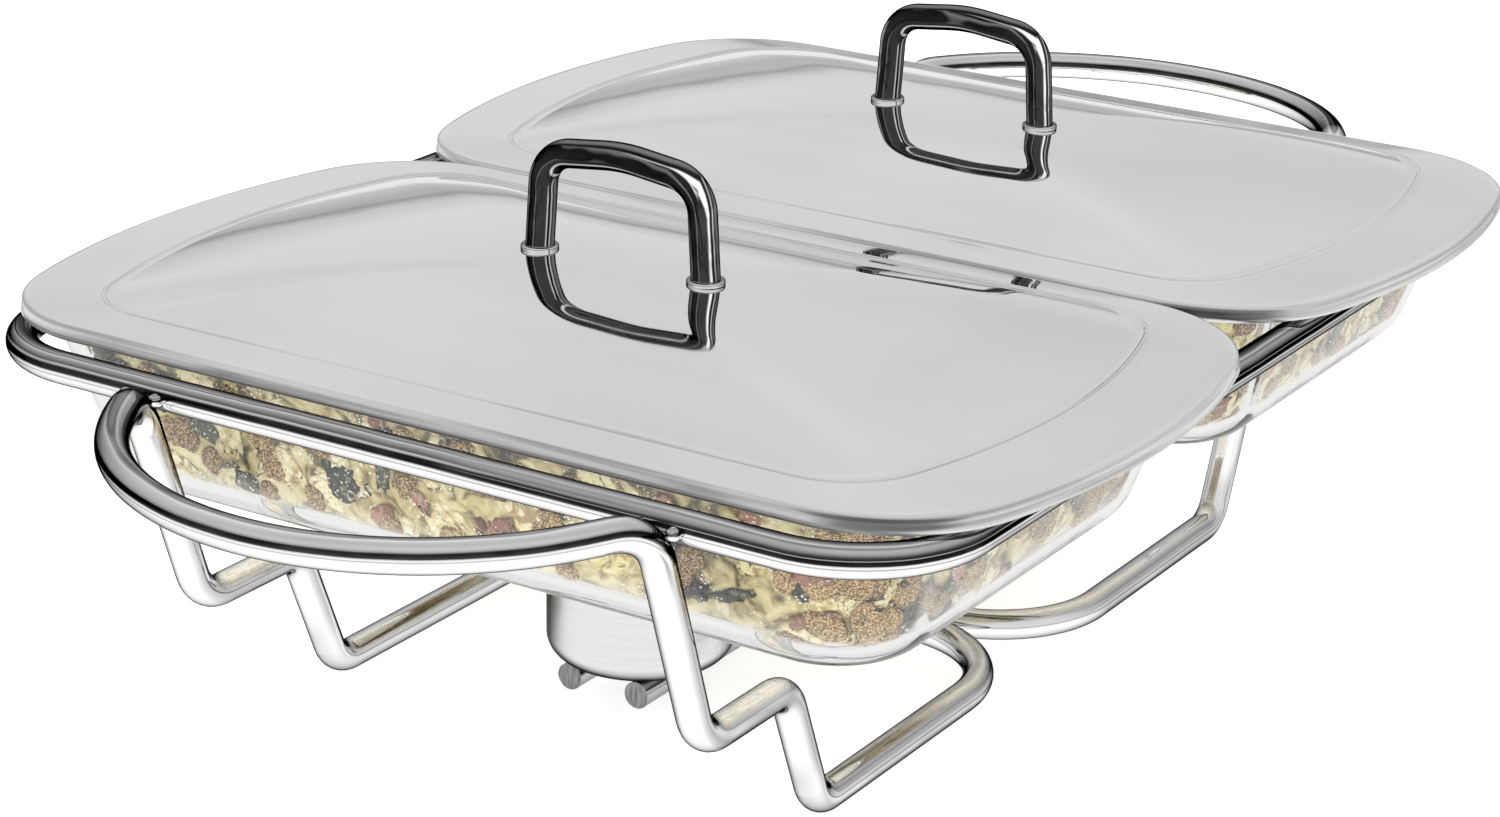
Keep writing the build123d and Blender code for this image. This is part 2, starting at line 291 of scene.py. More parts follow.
def grey(value, tint=(1.0, 1.0, 1.0)):
    return (value * tint[0], value * tint[1], value * tint[2], 1.0)


def new_material(name):
    material = bpy.data.materials.new(name)
    material.use_nodes = True
    return material, Graph(material.node_tree)


# ---- Materials --------------------------------------------------------------------------------------------

def plated(g, colour, haze):
    """Bright plating with faint haze, tiny pits and the slow waviness of a bent rod; its brightest painted
    bands glow as a painted glint.
    """
    pits = g.remap(g.cells(900), 0.0, 0.10, 0.0, 1.0)
    waviness = g.bump(g.noise(45, detail=1), 0.00004)
    surface = g.add("BsdfPrincipled", {
        "Base Color": colour, "Metallic": 1.0, "Specular Tint": grey(0.0),
        "Roughness": g.remap(haze, 0.3, 0.75, 0.018, 0.05),
        "Normal": g.bump(pits, 0.000015, 0.5, waviness),
        "Emission Color": grey(1.0), "Emission Strength": g.remap(colour, GLINT_FROM, 1.0, 0.0, GLINT),
    })
    g.output(surface.outputs[0])


def drifting(g, value, amount, scale=26):
    """A band's place, wandering along the rod as it does in a mirror that isn't quite straight."""
    wander = g.remap_linear(g.noise(scale, detail=2), 0.3, 0.7, -amount, amount)
    return g.math("ADD", value, wander)


def chrome_rod():
    """Chrome painted in bands by the slope of its surface, as a light studio with black flags would show.

    The ring has two looks along its length. The legs' bands follow the camera's axes, not the studio."""
    material, g = new_material("chrome_rod_plating")
    haze = g.noise(90, detail=6)
    slope = drifting(g, g.normal()["Z"], 0.03)
    ring = g.bands(slope, [
        (-1.0, 0.80), (-0.60, 1.0), (-0.20, 1.0), (-0.12, 0.50), (-0.06, 0.95), (0.06, 0.85), (0.12, 0.03),
        (0.34, 0.012), (0.44, 0.02), (0.50, 0.45), (0.56, 0.70), (0.62, 0.12), (0.72, 0.25), (0.84, 0.50),
        (0.90, 0.85), (0.93, 0.10), (0.955, 0.60), (1.0, 0.35),
    ])
    handle = g.bands(slope, [
        (-1.0, 0.75), (-0.60, 1.0), (-0.05, 1.0), (0.0, 0.50), (0.05, 0.95), (0.14, 0.85), (0.20, 0.05),
        (0.36, 0.010), (0.46, 0.012), (0.52, 0.35), (0.62, 0.62), (0.80, 0.72), (0.90, 0.85), (0.95, 0.95),
        (0.985, 0.40), (1.0, 0.60),
    ])
    ring_right = g.bands(slope, [
        (-1.0, 0.75), (-0.60, 1.0), (-0.20, 1.0), (-0.14, 0.40), (-0.08, 0.95), (0.02, 0.90), (0.08, 0.02),
        (0.30, 0.008), (0.34, 0.50), (0.38, 0.012), (0.50, 0.06), (0.64, 0.35), (0.78, 0.60), (0.88, 0.30),
        (0.92, 0.90), (1.0, 0.25),
    ])
    place = g.add("SeparateXYZ", {0: g.add("TexCoord").outputs["Object"]}).outputs
    ring = g.mix(g.remap(g.math("ADD", place["X"], drifting(g, 0.0, 0.02, 14)), 0.02, 0.07), ring, ring_right)
    beyond_ring = g.remap(g.math("ABSOLUTE", place["Y"]), 0.1765, 0.1800)
    flagged = g.mix(beyond_ring, ring, handle)
    legs = g.bands(drifting(g, g.normal("CAMERA")["X"], 0.08), [
        (-1.0, 0.35), (-0.93, 0.75), (-0.80, 0.85), (-0.55, 1.0), (0.45, 0.97), (0.70, 0.80), (0.82, 0.62),
        (0.90, 0.95), (1.0, 0.40),
    ])
    low_rods = g.bands(slope, [
        (-1.0, 0.45), (-0.6, 0.62), (-0.12, 1.0), (0.10, 0.95), (0.17, 0.10), (0.24, 0.75), (0.50, 0.60),
        (0.62, 0.20), (0.80, 0.55), (0.94, 0.92), (1.0, 0.80),
    ])
    on_floor = g.remap(g.height(), 0.012, 0.022, 1.0, 0.0)
    lower = g.mix(on_floor, legs, g.mix(0.6, legs, low_rods))
    high_up = g.remap(g.height(), 0.080, 0.091)
    colour = g.mix(high_up, lower, flagged)
    # Painted shade: the rod darkens towards its outline.
    outline = g.remap(g.facing(), 0.03, 0.25, 0.45, 1.0)
    colour = g.mix(1.0, colour, outline, "MULTIPLY")
    colour = g.mix(g.remap(haze, 0.35, 0.7, 0.0, 0.05), colour, grey(0.5))
    plated(g, colour, haze)
    return material


def chrome_handle():
    """The lids' handles carry painted reflections in black and white: dark sides, a wide bright streak and
    thin ones beside it.

    The bands follow the camera's axes, so from every side the streak faces the viewer."""
    material, g = new_material("chrome_handle_plating")
    haze = g.noise(90, detail=6)
    seen = g.normal("CAMERA")
    bar = g.bands(drifting(g, seen["Y"], 0.02, 20), [
        (-1.0, 0.10), (-0.82, 0.03), (-0.75, 0.95), (-0.68, 0.02), (-0.30, 0.05), (0.06, 0.008), (0.11, 0.9),
        (0.34, 1.0), (0.40, 0.015), (0.55, 0.015), (0.68, 0.25), (0.84, 0.35), (0.94, 0.05), (1.0, 0.02),
    ])
    leg = g.bands(drifting(g, seen["X"], 0.06, 70), [
        (-1.0, 0.05), (-0.92, 0.5), (-0.84, 0.02), (-0.50, 0.008), (-0.44, 0.2), (-0.38, 0.008),
        (-0.12, 0.012), (-0.06, 1.0), (0.40, 1.0), (0.46, 0.02), (0.58, 0.012), (0.64, 0.8), (0.70, 0.02),
        (0.90, 0.3), (1.0, 0.02),
    ])
    sideways = g.math("ABSOLUTE", seen["X"])
    upright = g.math("ABSOLUTE", seen["Y"])
    is_leg = g.remap(g.math("SUBTRACT", sideways, upright), -0.08, 0.10)
    colour = g.mix(is_leg, bar, leg)
    low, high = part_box("front_handle_collars")
    on_collar = g.remap_linear(g.height(), high.z, high.z + 0.0002, 1.0, 0.0)
    # Painted reflection bands on the collars.
    collar = g.bands(seen["Y"], [(-1.0, 0.1), (-0.3, 0.8), (0.0, 0.06), (0.2, 0.9), (0.6, 0.35), (1.0, 0.9)])
    colour = g.mix(on_collar, colour, collar)
    colour = g.mix(g.remap(haze, 0.35, 0.7, 0.0, 0.03), colour, grey(0.5))
    plated(g, colour, haze)
    return material


def polished_lid():
    """Mirror-polished sheet with faint streaks, a painted dark line where it turns away from the camera, and a
    duller skirt with painted shade, darkest where it faces the camera.
    """
    material, g = new_material("polished_lid_sheet")
    streaks = g.noise(260, detail=4, stretch=(0.03, 1, 1))
    clouds = g.noise(9, detail=3)
    colour = g.mix(g.remap(clouds, 0.35, 0.68), grey(0.95), grey(0.90, (0.995, 1, 1)))
    # Painted shade: a thin dark line, and a slightly darker sheet beyond it, where the surface turns away from
    # the camera.
    turned_away = g.bands(drifting(g, g.facing(), 0.008), [
        (-1.0, 0.80), (0.12, 0.80), (0.170, 0.72), (0.180, 0.30), (0.192, 0.92), (0.22, 1.0), (1.0, 1.0),
    ])
    colour = g.mix(1.0, colour, turned_away, "MULTIPLY")
    skirt_lines = g.noise(700, detail=4, stretch=(0.02, 0.02, 1))
    # Painted shade on the skirt, darkest where it faces the camera; its fine lines are the metal's own.
    skirt = g.bands(g.facing(), [(-1.0, 0.80), (0.60, 0.78), (0.86, 0.66), (0.93, 0.24), (1.0, 0.16)])
    skirt = g.mix(1.0, skirt, g.remap(skirt_lines, 0.35, 0.65, 0.70, 1.15), "MULTIPLY")
    upright = g.normal()["Z"]
    on_skirt = g.remap(upright, 0.70, 0.965, 1.0, 0.0)
    colour = g.mix(on_skirt, colour, g.mix(1.0, colour, skirt, "MULTIPLY"))
    hem = g.remap(upright, 0.0, -0.3, 0.0, 1.0)
    colour = g.mix(hem, colour, grey(0.95))
    roughness = g.math("ADD", g.remap(streaks, 0.3, 0.7, 0.02, 0.05), g.remap(clouds, 0.4, 0.7, 0.0, 0.02))
    roughness = g.math("ADD", roughness, g.math("MULTIPLY", on_skirt, 0.28))
    normal = g.bump(streaks, 0.000004, 0.6)
    surface = g.add("BsdfPrincipled", {
        "Base Color": colour, "Metallic": 1.0, "Roughness": roughness, "Normal": normal,
    })
    g.output(surface.outputs[0])
    return material


def satin_steel(name, tone, roughness, ring_scale):
    """Spun or drawn steel: fine lines that run round the part, with painted shade towards its outline and
    underneath.
    """
    material, g = new_material(name)
    lines = g.noise(ring_scale, detail=5, stretch=(0.02, 0.02, 1))
    blotches = g.noise(60, detail=4)
    colour = g.mix(g.remap(lines, 0.3, 0.7), grey(tone), grey(tone * 0.94, (1, 0.99, 0.98)))
    # Painted shade towards the outline and underneath.
    outline = g.remap(g.facing(), 0.15, 0.62, 0.30, 1.0)
    underneath = g.remap(g.normal()["Z"], -0.75, -0.15, 0.35, 1.0)
    shade = g.math("MULTIPLY", outline, underneath)
    colour = g.mix(1.0, colour, shade, "MULTIPLY")
    surface = g.add("BsdfPrincipled", {
        "Base Color": colour, "Metallic": 1.0, "Normal": g.bump(lines, 0.000002, 0.5),
        "Roughness": g.remap(blotches, 0.3, 0.7, roughness - 0.05, roughness + 0.05),
        "Specular Tint": grey(0.2),
    })
    g.output(surface.outputs[0])
    return material


def rail_steel():
    """Plated rail rod with painted shade towards its outline, whose sawn ends are duller and scratched across.
    """
    material, g = new_material("rail_steel_rod")
    normal = g.add("NewGeometry").outputs["Normal"]
    along = g.math("ABSOLUTE", g.add("SeparateXYZ", {0: normal}).outputs["Y"])
    end = g.remap(along, 0.85, 0.97)
    scratches = g.noise(1800, detail=3, stretch=(1, 1, 0.15))
    # Painted shade: the rod's side goes dark towards its outline.
    side = g.mix(g.remap(g.facing(), 0.1, 0.7), grey(0.10), grey(0.62))
    colour = g.mix(end, side, g.ramp(scratches, [(0.3, grey(0.16)), (0.7, grey(0.42))]))
    roughness = g.math("ADD", g.math("MULTIPLY", end, 0.28), g.remap(scratches, 0.3, 0.7, 0.06, 0.14))
    bump = g.bump(scratches, 0.00005, g.math("MULTIPLY", end, 0.8))
    surface = g.add("BsdfPrincipled", {
        "Base Color": colour, "Metallic": 1.0, "Roughness": roughness, "Normal": bump,
    })
    g.output(surface.outputs[0])
    return material


def pressed_glass():
    """Clear heatproof glass with slight waviness. Shadow and bounced light pass straight through."""
    material, g = new_material("pressed_glass")
    waves = g.bump(g.noise(38, detail=2), 0.00010, 0.8)
    smears = g.noise(55, detail=5)
    glass = g.add("BsdfGlass", {
        "Color": grey(0.985, (0.998, 1.0, 0.995)),
        "Roughness": g.remap(smears, 0.45, 0.8, 0.0, 0.03),
        "IOR": 1.47,
        "Normal": waves,
    })
    clear = g.add("BsdfTransparent", {"Color": grey(0.95)})
    path = g.add("LightPath").outputs
    through = g.math("MAXIMUM", path["Is Shadow Ray"], path["Is Diffuse Ray"])
    mixed = g.add("MixShader", {0: through, 1: glass.outputs[0], 2: clear.outputs[0]})
    g.output(mixed.outputs[0])
    return material


def pale_towards_base(g, colour, strength):
    """Painted light: the food turns milky pale towards the bottom of the dish, where light gathers in the
    thick glass.
    """
    pale = g.remap(g.height(), 0.0605, 0.0740, strength, 0.0)
    return g.mix(pale, colour, (0.95, 0.93, 0.86, 1))


def bubbles(g, scale, cover):
    """Clusters of tiny bubbles, painted as bright glints: cover is the noise level above which they appear."""
    dots = g.remap(g.cells(scale), 0.20, 0.36, 1.0, 0.0)
    patches = g.remap(g.noise(95, detail=2), cover, cover + 0.06)
    return g.math("MULTIPLY", dots, patches)


def casserole():
    """The sauce between the pieces: olive and brown, with painted shade in its hollows and strings of tiny
    bubbles painted as bright glints.
    """
    material, g = new_material("casserole_sauce")
    lumps = g.noise(150, detail=6, distortion=0.9)
    fine = g.noise(620, detail=5)
    # Olive and brown sauce, with painted shade going near black in the hollows of the lumps.
    colour = g.ramp(lumps, [
        (0.32, (0.045, 0.034, 0.018, 1)), (0.41, (0.17, 0.13, 0.05, 1)),
        (0.48, (0.48, 0.39, 0.16, 1)), (0.58, (0.76, 0.67, 0.36, 1)), (0.74, (0.90, 0.84, 0.58, 1)),
    ])
    colour = g.mix(g.remap(fine, 0.52, 0.70, 0.0, 0.6), colour, (0.66, 0.56, 0.30, 1))
    colour = g.mix(g.math("MULTIPLY", bubbles(g, 900, 0.50), 0.95), colour, (1.0, 0.99, 0.94, 1))
    colour = pale_towards_base(g, colour, 0.55)
    bump = g.bump(lumps, 0.0014, 0.8, g.bump(fine, 0.0005, 0.8))
    surface = g.add("BsdfPrincipled", {
        "Base Color": colour, "Roughness": g.remap(fine, 0.3, 0.7, 0.3, 0.6), "Normal": bump,
    })
    g.output(surface.outputs[0])
    return material


def cheesy_chunk():
    """Soft potato under melted cheese: creamy yellow, with painted shade in its hollows, and toasted in
    places.
    """
    material, g = new_material("cheesy_potato")
    tone = g.add("Attribute", attribute_name="tone").outputs["Fac"]
    soft = g.noise(190, detail=6, distortion=0.7)
    fine = g.noise(880, detail=5)
    creamy = g.mix(tone, (0.90, 0.79, 0.38, 1), (0.95, 0.89, 0.62, 1))
    # Painted shade: a darker copy of the cream for the hollows.
    shaded = g.mix(tone, (0.46, 0.35, 0.10, 1), (0.62, 0.52, 0.24, 1))
    colour = g.mix(g.remap(soft, 0.34, 0.52), shaded, creamy)
    # Painted shade in the fine hollows, and painted light on the fine rises.
    colour = g.mix(g.remap(fine, 0.36, 0.48, 0.5, 0.0), colour, (0.46, 0.36, 0.14, 1))
    colour = g.mix(g.remap(fine, 0.56, 0.70, 0.0, 0.7), colour, (0.96, 0.92, 0.72, 1))
    toasted = g.remap(g.noise(230, detail=4, distortion=1.2), 0.57, 0.66, 0.0, 0.85)
    colour = g.mix(toasted, colour, (0.40, 0.25, 0.10, 1))
    # Tiny bubbles painted as bright glints.
    colour = g.mix(g.math("MULTIPLY", bubbles(g, 980, 0.56), 0.85), colour, (1.0, 0.98, 0.90, 1))
    colour = pale_towards_base(g, colour, 0.6)
    bump = g.bump(soft, 0.0012, 0.8, g.bump(fine, 0.0005, 0.8))
    surface = g.add("BsdfPrincipled", {
        "Base Color": colour, "Roughness": g.remap(fine, 0.3, 0.7, 0.3, 0.55), "Normal": bump,
        "Subsurface Weight": 0.06, "Subsurface Radius": (0.004, 0.003, 0.0012), "Subsurface Scale": 0.5,
    })
    g.output(surface.outputs[0])
    return material


def crumbed_nut():
    """Nut pieces in a coarse golden-brown crumb with painted shade between its grains, each with its own tone.
    """
    material, g = new_material("crumbed_nut_pieces")
    grains = g.cells(1500)
    tone = g.add("Attribute", attribute_name="tone").outputs["Fac"]
    # Lit and shaded copies of the crumb's colour: the shaded one is painted shade between the grains.
    light = g.mix(tone, (0.92, 0.66, 0.33, 1), (0.60, 0.37, 0.17, 1))
    dark = g.mix(tone, (0.34, 0.19, 0.07, 1), (0.13, 0.065, 0.028, 1))
    colour = g.mix(g.remap(grains, 0.24, 0.60), light, dark)
    tips = g.remap(g.noise(1900, detail=2), 0.53, 0.64)
    colour = g.mix(g.math("MULTIPLY", tips, 0.8), colour, (0.93, 0.74, 0.44, 1))
    colour = pale_towards_base(g, colour, 0.5)
    surface = g.add("BsdfPrincipled", {
        "Base Color": colour, "Roughness": 0.5, "Normal": g.bump(grains, -0.0007, 1.0),
    })
    g.output(surface.outputs[0])
    return material


def soft_bits(name, first, second):
    """Soft cooked pieces, such as herb leaves and onion, that drift between two colours."""
    material, g = new_material(name)
    tone = g.add("Attribute", attribute_name="tone").outputs["Fac"]
    veins = g.noise(420, detail=5, distortion=1.5)
    colour = g.mix(tone, first, second)
    colour = g.mix(g.remap(veins, 0.52, 0.70, 0.0, 0.65), colour, (0.62, 0.54, 0.36, 1))
    # Tiny bubbles painted as bright glints.
    colour = g.mix(g.math("MULTIPLY", bubbles(g, 900, 0.47), 0.9), colour, (1.0, 0.99, 0.94, 1))
    colour = pale_towards_base(g, colour, 0.45)
    surface = g.add("BsdfPrincipled", {
        "Base Color": colour, "Roughness": 0.35, "Normal": g.bump(veins, 0.0007, 0.9),
    })
    g.output(surface.outputs[0])
    return material


def candle_wax():
    """White wax with a soft glow, faint mottling and a melted ring round the wick."""
    material, g = new_material("candle_wax_fill")
    mottled = g.noise(240, detail=5)
    colour = g.mix(mottled, (0.90, 0.88, 0.82, 1), (0.97, 0.96, 0.93, 1))
    surface = g.add("BsdfPrincipled", {
        "Base Color": colour, "Roughness": g.remap(mottled, 0.3, 0.7, 0.28, 0.45),
        "Normal": g.bump(mottled, 0.0002, 0.5), "Subsurface Weight": 0.5, "Subsurface Scale": 0.8,
        "Subsurface Radius": (0.004, 0.0035, 0.003),
    })
    g.output(surface.outputs[0])
    return material


def wick_cotton():
    """Waxed cotton with a twist, charred towards its tip."""
    material, g = new_material("wick_cotton_twist")
    low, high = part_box("front_tealight_wick")
    twist = g.noise(900, detail=2, stretch=(1, 1, 0.5), distortion=1.0)
    char = g.remap(g.height(), between(low.z, high.z, 0.72), high.z)
    colour = g.mix(g.remap(twist, 0.35, 0.65), (0.78, 0.74, 0.64, 1), (0.93, 0.90, 0.83, 1))
    colour = g.mix(char, colour, (0.03, 0.028, 0.025, 1))
    surface = g.add("BsdfPrincipled", {
        "Base Color": colour, "Roughness": 0.8, "Normal": g.bump(twist, 0.0002, 0.9),
    })
    g.output(surface.outputs[0])
    return material


def make_materials():
    herb = soft_bits("herb_leaf", (0.016, 0.022, 0.016, 1), (0.060, 0.072, 0.036, 1))
    onion = soft_bits("onion_piece", (0.50, 0.24, 0.17, 1), (0.17, 0.06, 0.035, 1))
    return {
        "chrome_rod": chrome_rod(),
        "chrome_handle": chrome_handle(),
        "rail_steel": rail_steel(),
        "polished_lid": polished_lid(),
        "fastener_steel": satin_steel("fastener_zinc", 0.72, 0.22, 900),
        "cup_steel": satin_steel("cup_spun_steel", 0.92, 0.24, 1500),
        "tealight_aluminium": satin_steel("tealight_foil", 0.86, 0.2, 700),
        "tin_plate": satin_steel("sustainer_tin", 0.7, 0.25, 500),
        "dish_glass": pressed_glass(),
        "candle_wax": candle_wax(),
        "wick_cotton": wick_cotton(),
        "casserole": casserole(),
        "potato": cheesy_chunk(),
        "nut": crumbed_nut(),
        "herb": herb,
        "onion": onion,
    }


def paint_cad_nodes(materials):
    """Every CAD node that stays gets the material of its own slot."""
    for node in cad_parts.values():
        for place in node.material_slots:
            place.material = materials[place.material.name]


# ---- Lids -------------------------------------------------------------------------------------------------

def lid_loop(half, inset, corner, end_extra=0.0):
    """The lid's plan moved inwards by inset, and further at the bowed ends, as a closed loop of points."""
    half_y = half[1] - inset
    end_radius = LID_END_RADIUS_MM - inset - end_extra
    end_centre = half[0] - LID_END_RADIUS_MM
    corner_y = half_y - corner
    turn = math.asin(corner_y / (end_radius - corner))
    corner_x = end_centre + (end_radius - corner) * math.cos(turn)
    quarter = arc_points((end_centre, 0), end_radius, 0, turn, END_POINTS)
    quarter += arc_points((corner_x, corner_y), corner, turn, math.pi / 2, CORNER_POINTS)
    quarter += [(between(corner_x, 0, i / SIDE_POINTS), half_y) for i in range(SIDE_POINTS + 1)]
    return full_loop(quarter)


def brim_loop(half, inset):
    """A loop of the brim, whose corners tighten and whose ends widen towards the dome."""
    share = min(1.0, inset / (EDGE_ROLL_MM + BRIM_WIDTH_MM))
    return lid_loop(half, inset, between(LID_CORNER_MM, DOME_CORNER_MM, share), BRIM_END_EXTRA_MM * share)


def lid_profile(hem, edge):
    """(inset, height) points of the upper surface, from the dome's edge out to the hem."""
    brim_inset = EDGE_ROLL_MM + BRIM_WIDTH_MM
    points = []
    for i in range(9):
        share = i / 8
        bead = CREASE_RISE_MM * math.sin(math.pi * share) ** 2
        points.append((brim_inset + CREASE_MM * (1 - share), edge + BRIM_RISE_MM + bead))
    for i in range(1, 13):
        share = 1 - i / 12
        points.append((EDGE_ROLL_MM + BRIM_WIDTH_MM * share, edge + BRIM_RISE_MM * share))
    for i in range(1, 8):
        angle = math.radians(90 * i / 7)
        roll_in = EDGE_ROLL_MM * (1 - math.sin(angle))
        points.append((roll_in + 0.25, edge - EDGE_ROLL_MM * (1 - math.cos(angle))))
    points.append((0.22, between(hem, edge, 0.35)))
    points.append((0.0, hem + 0.25))
    return points


def lid_shell(name, materials):
    low, high = box_mm(f"{name}_lid_shell")
    half = ((high.x - low.x) / 2, (high.y - low.y) / 2)
    middle_y = (low.y + high.y) / 2
    edge = box_mm(f"{name}_glass_dish")[1].z + LID_SHEET_MM
    dome_base = edge + BRIM_RISE_MM
    dome = brim_loop(half, EDGE_ROLL_MM + BRIM_WIDTH_MM + CREASE_MM)

    def placed(loop, height):
        return [(x, y + middle_y, height) for x, y in loop]

    def dome_loop(share, drop):
        height = dome_base + DOME_RISE_MM * (1 - share ** DOME_POWER) - drop
        return placed([(x * share, y * share) for x, y in dome], height)

    upper = [dome_loop(i / DOME_ROWS, 0) for i in range(1, DOME_ROWS)]
    profile = lid_profile(low.z, edge)
    upper += [placed(brim_loop(half, inset), height) for inset, height in profile]
    lower = [dome_loop(i / DOME_ROWS, LID_SHEET_MM) for i in range(4, DOME_ROWS, 5)]
    for (inset, height), (next_inset, next_height) in zip(profile, profile[1:] + [(0.3, low.z)]):
        run, drop = inset - next_inset, height - next_height
        length = math.hypot(run, drop)
        under_inset = inset + LID_SHEET_MM * drop / length
        lower.append(placed(brim_loop(half, under_inset), height - LID_SHEET_MM * run / length))
    hem = lid_loop(half, LID_SHEET_MM / 2, LID_CORNER_MM - LID_SHEET_MM / 2)
    vertices, faces = skin(upper + [placed(hem, low.z)] + lower[::-1])
    return add_piece(
        f"{name}_lid_sheet", vertices, faces, materials["polished_lid"], f"{name}_lid",
        f"{name}_lid_shell",
    )


# ---- Glass dishes -----------------------------------------------------------------------------------------

def rectangle_quarter(half_x, half_y, corner):
    quarter = [(half_x, between(0, half_y - corner, i / END_POINTS)) for i in range(END_POINTS)]
    quarter += arc_points((half_x - corner, half_y - corner), corner, 0, math.pi / 2, CORNER_POINTS)
    return quarter + [(between(half_x - corner, 0, i / SIDE_POINTS), half_y) for i in range(SIDE_POINTS + 1)]


def dish_half(height, base):
    """Half sizes of the dish's outside at a height. The walls flare evenly from base to rim."""
    share = (height - base[0]) / (base[1] - base[0])
    return [between(low, high, share) for low, high in zip(DISH_BASE_HALF_MM, DISH_TOP_HALF_MM)]


def dish_loop(height, inset, base, shrink=0.0):
    half_x, half_y = dish_half(height, base)
    inset += shrink
    return full_loop(rectangle_quarter(half_x - inset, half_y - inset, max(3.0, DISH_CORNER_MM - inset)))


def tab_reach(y, wall_x, lid_half_x):
    """How far the rim stands out from the wall at one end of the dish, at a distance y off its middle."""
    end_radius = LID_END_RADIUS_MM - TAB_INSET_MM
    tab_x = lid_half_x - LID_END_RADIUS_MM + math.sqrt(end_radius ** 2 - y ** 2)
    fade = smooth_step((TAB_HALF_WIDTH_MM - abs(y)) / TAB_BLEND_MM)
    return between(RIM_PROUD_MM, tab_x - wall_x, fade)


def rim_loop(angle, base, lid_half_x):
    """One loop of the rim's rounded edge: angle runs from -90 degrees underneath to 90 on top."""
    rise = math.sin(math.radians(angle))
    reach_out = math.cos(math.radians(angle))
    half_x, half_y = dish_half(base[1] - RIM_THICKNESS_MM, base)
    wall = rectangle_quarter(half_x, half_y, DISH_CORNER_MM)
    proud = rectangle_quarter(half_x + 1, half_y + 1, DISH_CORNER_MM + 1)
    points = []
    for (x, y), (out_x, out_y) in zip(wall, proud):
        reach = RIM_PROUD_MM
        if x > half_x - 0.01:
            reach = tab_reach(y, half_x, lid_half_x)
        edge = min(RIM_THICKNESS_MM / 2, reach)
        offset = reach - edge + edge * reach_out
        points.append((x + (out_x - x) * offset, y + (out_y - y) * offset))
    height = base[1] - RIM_THICKNESS_MM / 2 * (1 - rise)
    return full_loop(points), height


def glass_dish(name, materials):
    low, high = box_mm(f"{name}_glass_dish")
    middle_y = (low.y + high.y) / 2
    base = (low.z, high.z)
    lid_low, lid_high = box_mm(f"{name}_lid_shell")
    lid_half_x = (lid_high.x - lid_low.x) / 2
    loops = []

    def place(loop, height):
        loops.append([(x, y + middle_y, height) for x, y in loop])

    def cove(floor, inset, radius, going_up):
        """The rounded bottom edge, and the flat bottom inside it."""
        steps = [(share, 0.0) for share in (0.1, 0.4, 0.75, 0.95)] + [(1.0, 90 * i / 9) for i in range(10)]
        for share, degrees in (steps if going_up else steps[::-1]):
            angle = math.radians(degrees)
            height = floor + radius * (1 - math.cos(angle))
            loop = dish_loop(height, inset, base, radius * (1 - math.sin(angle)))
            place([(x * share, y * share) for x, y in loop], height)

    cove(base[0], 0.0, DISH_BOTTOM_FILLET_MM, True)
    wall_low = base[0] + DISH_BOTTOM_FILLET_MM
    wall_high = base[1] - RIM_THICKNESS_MM - 0.8
    for i in range(1, 9):
        height = between(wall_low, wall_high, i / 8)
        place(dish_loop(height, 0.0, base), height)
    for degrees in range(-90, 91, 18):
        place(*rim_loop(degrees, base, lid_half_x))
    inner_low = base[0] + DISH_WALL_MM + DISH_INNER_FILLET_MM
    for degrees in (90, 60, 30, 0):
        angle = math.radians(degrees)
        height = base[1] - 1 + math.sin(angle)
        place(dish_loop(height, DISH_WALL_MM - math.sin(angle), base), height)
    for i in range(1, 8):
        height = between(base[1] - 1, inner_low, i / 8)
        place(dish_loop(height, DISH_WALL_MM, base), height)
    cove(base[0] + DISH_WALL_MM, DISH_WALL_MM, DISH_INNER_FILLET_MM, False)
    vertices, faces = skin(loops)
    return add_piece(
        f"{name}_pressed_dish", vertices, faces, materials["dish_glass"], f"{name}_dish",
        f"{name}_glass_dish",
    )


# ---- Food -------------------------------------------------------------------------------------------------

def food_inset(height, floor):
    """Distance in from the dish's outside to the food: the wall, the gap and the rounded bottom."""
    inset = DISH_WALL_MM + FOOD_GAP_MM
    climb = height - floor
    if climb < DISH_INNER_FILLET_MM:
        drop = DISH_INNER_FILLET_MM - max(0.0, climb)
        inset += DISH_INNER_FILLET_MM - math.sqrt(DISH_INNER_FILLET_MM ** 2 - drop ** 2)
    return inset


def keep_inside(point, base, floor, depth):
    """Moves a point that is beyond the glass to the nearest place inside, relative to the dish's middle.

    Depth is how far behind the glass a lump stops, so that lumps that overlap don't share a surface."""
    height = min(FOOD_CEILING_MM - depth, max(floor + depth, point.z))
    half_x, half_y = dish_half(height, base)
    inset = food_inset(height, floor) + depth
    corner = DISH_CORNER_MM - inset
    core_x, core_y = half_x - inset - corner, half_y - inset - corner
    over = Vector((max(0.0, abs(point.x) - core_x), max(0.0, abs(point.y) - core_y)))
    if over.length > corner:
        over *= corner / over.length
    x = math.copysign(min(abs(point.x), core_x) + over.x, point.x)
    y = math.copysign(min(abs(point.y), core_y) + over.y, point.y)
    return Vector((x, y, height))


